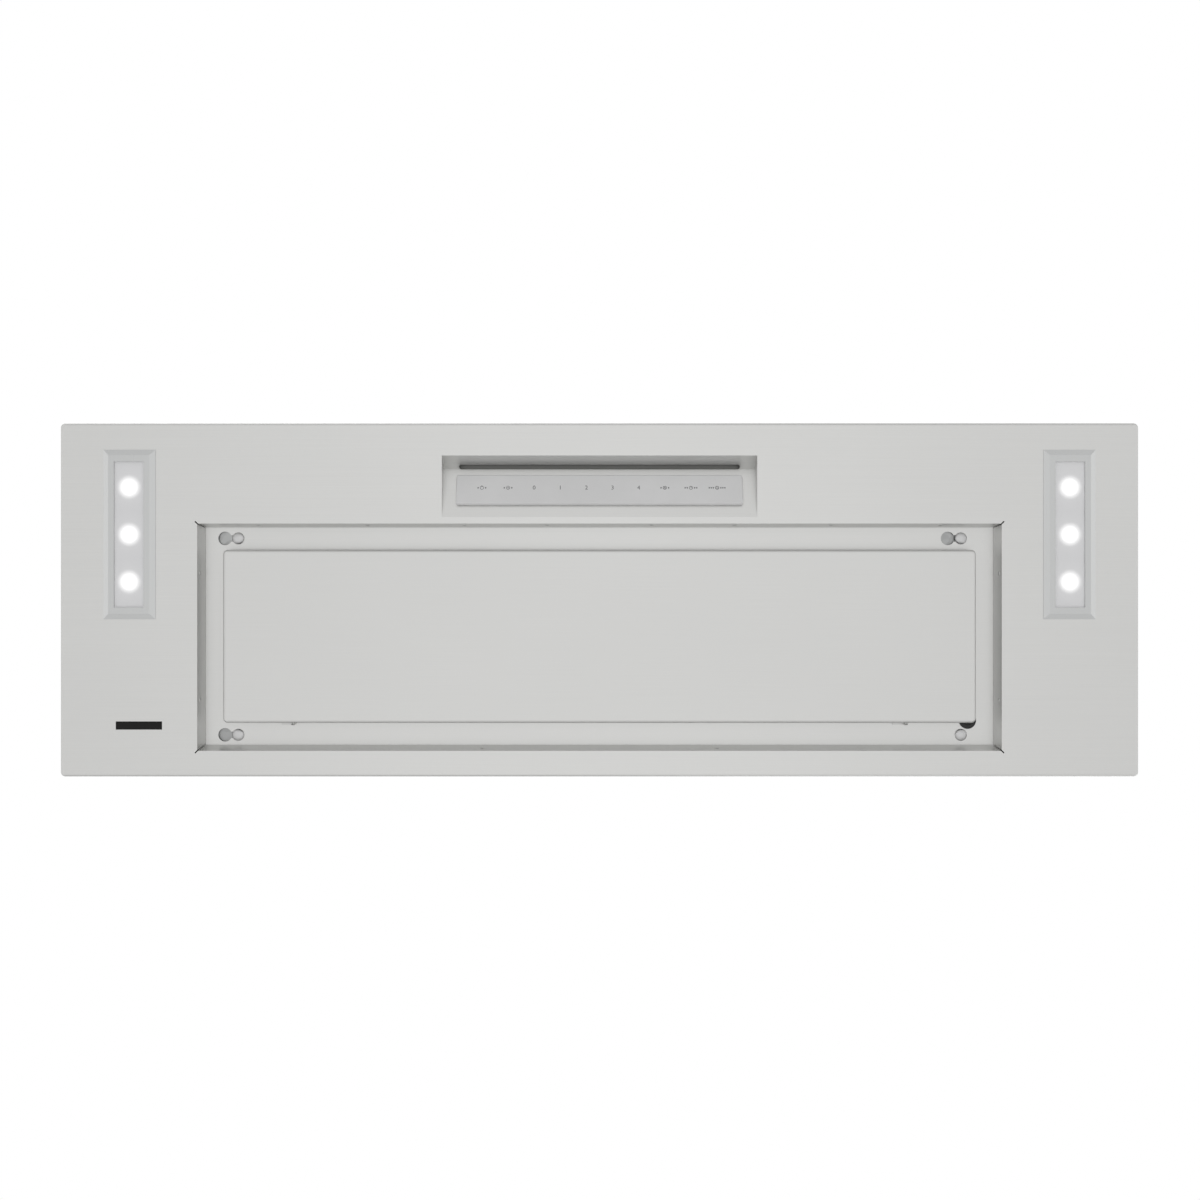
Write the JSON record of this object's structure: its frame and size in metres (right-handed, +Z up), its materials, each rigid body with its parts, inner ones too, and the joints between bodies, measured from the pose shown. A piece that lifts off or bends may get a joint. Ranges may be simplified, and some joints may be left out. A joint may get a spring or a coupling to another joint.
{
  "type": "range hood insert",
  "caption": "Built-in hood insert with a stainless fascia, lamp bars, sloping touch controls and a hinged suction cover over filters and a blower.",
  "frame": {"origin": "under the middle of the fascia, in the plane of the lamp bezels' faces, the lowest plane", "axes": "+Z up into the cabinet, -Y the hood's front, +X the cook's right"},
  "size_m": [1.168, 0.383, 0.3098],
  "materials": {
    "stainless": "fine brushed stainless, grain along the hood's width",
    "galvanised": "galvanised sheet with soft spangle",
    "black_plastic": "black moulded plastic",
    "black_rubber": "matt black rubber",
    "grey_plastic": "grey moulded plastic",
    "touch_glass": "satin metallic touch strip with small dark legends",
    "lamp_lens": "frosted diffuser",
    "circuit_board": "green solder mask",
    "white_plastic": "white moulded plastic",
    "filter_mesh": "layered expanded aluminium"
  },
  "bodies": {
    "hood": {"fascia_panel": "stainless", "air_guard": "stainless", "suction_tray": "stainless", "left_lamp_bezel": "stainless", "right_lamp_bezel": "stainless", "hanging_stud_front_left": "stainless", "hanging_stud_front_right": "stainless", "hanging_stud_rear_left": "stainless", "locking_screw_rear_right": "stainless", "left_hinge_bracket": "stainless", "right_hinge_bracket": "stainless", "left_hinge_pin": "stainless", "right_hinge_pin": "stainless", "left_filter_frame": "stainless", "middle_filter_frame": "stainless", "right_filter_frame": "stainless", "damper_rod": "stainless", "left_support_rail": "galvanised", "right_support_rail": "galvanised", "cabinet_flange_frame": "galvanised", "housing_wrap": "galvanised", "housing_roof": "galvanised", "duct_collar": "galvanised", "blower_scroll": "galvanised", "left_inlet_ring": "galvanised", "right_inlet_ring": "galvanised", "motor_bracket": "galvanised", "junction_box": "galvanised", "junction_box_cover": "galvanised", "sensor_window": "black_plastic", "left_magnet_catch": "black_plastic", "right_magnet_catch": "black_plastic", "motor": "black_plastic", "rubber_plug": "black_rubber", "control_housing": "grey_plastic", "left_lamp_housing": "grey_plastic", "right_lamp_housing": "grey_plastic", "sensor_module": "grey_plastic", "capacitor": "grey_plastic", "touch_strip": "touch_glass", "left_lamp_lens": "lamp_lens", "right_lamp_lens": "lamp_lens", "control_board": "circuit_board", "left_lamp_board": "white_plastic", "right_lamp_board": "white_plastic", "power_module": "white_plastic", "left_filter_mesh": "filter_mesh", "middle_filter_mesh": "filter_mesh", "right_filter_mesh": "filter_mesh"},
    "cover": {"cover_panel": "stainless", "cover_stiffener": "galvanised", "left_hinge_ear": "stainless", "right_hinge_ear": "stainless"},
    "blower_wheel": {"impeller": "galvanised", "motor_shaft": "stainless"},
    "damper_front": {"damper_flap_front": "galvanised"},
    "damper_rear": {"damper_flap_rear": "galvanised"},
    "latch_left": {"left_filter_latch": "black_plastic"},
    "latch_middle": {"middle_filter_latch": "black_plastic"},
    "latch_right": {"right_filter_latch": "black_plastic"}
  },
  "joints": [
    {"name": "cover_swing", "type": "hinge", "parent": "hood", "child": "cover", "pos_m": [0, 0.1329, 0.0165], "axis": [1, 0, 0], "range_deg": [0, 90]},
    {"name": "blower_spin", "type": "hinge", "parent": "hood", "child": "blower_wheel", "pos_m": [0, -0.06, 0.162], "axis": [1, 0, 0], "continuous": true},
    {"name": "damper_front_lift", "type": "hinge", "parent": "hood", "child": "damper_front", "pos_m": [0, 0.024, 0.2718], "axis": [-1, 0, 0], "range_deg": [0, 75]},
    {"name": "damper_rear_lift", "type": "hinge", "parent": "hood", "child": "damper_rear", "pos_m": [0, 0.024, 0.2718], "axis": [1, 0, 0], "range_deg": [0, 75]},
    {"name": "latch_left_slide", "type": "slide", "parent": "hood", "child": "latch_left", "axis": [0, 1, 0], "range_m": [0, 0.005], "stiffness_N_per_m": 400},
    {"name": "latch_middle_slide", "type": "slide", "parent": "hood", "child": "latch_middle", "axis": [0, 1, 0], "range_m": [0, 0.005], "stiffness_N_per_m": 400},
    {"name": "latch_right_slide", "type": "slide", "parent": "hood", "child": "latch_right", "axis": [0, 1, 0], "range_m": [0, 0.005], "stiffness_N_per_m": 400}
  ]
}
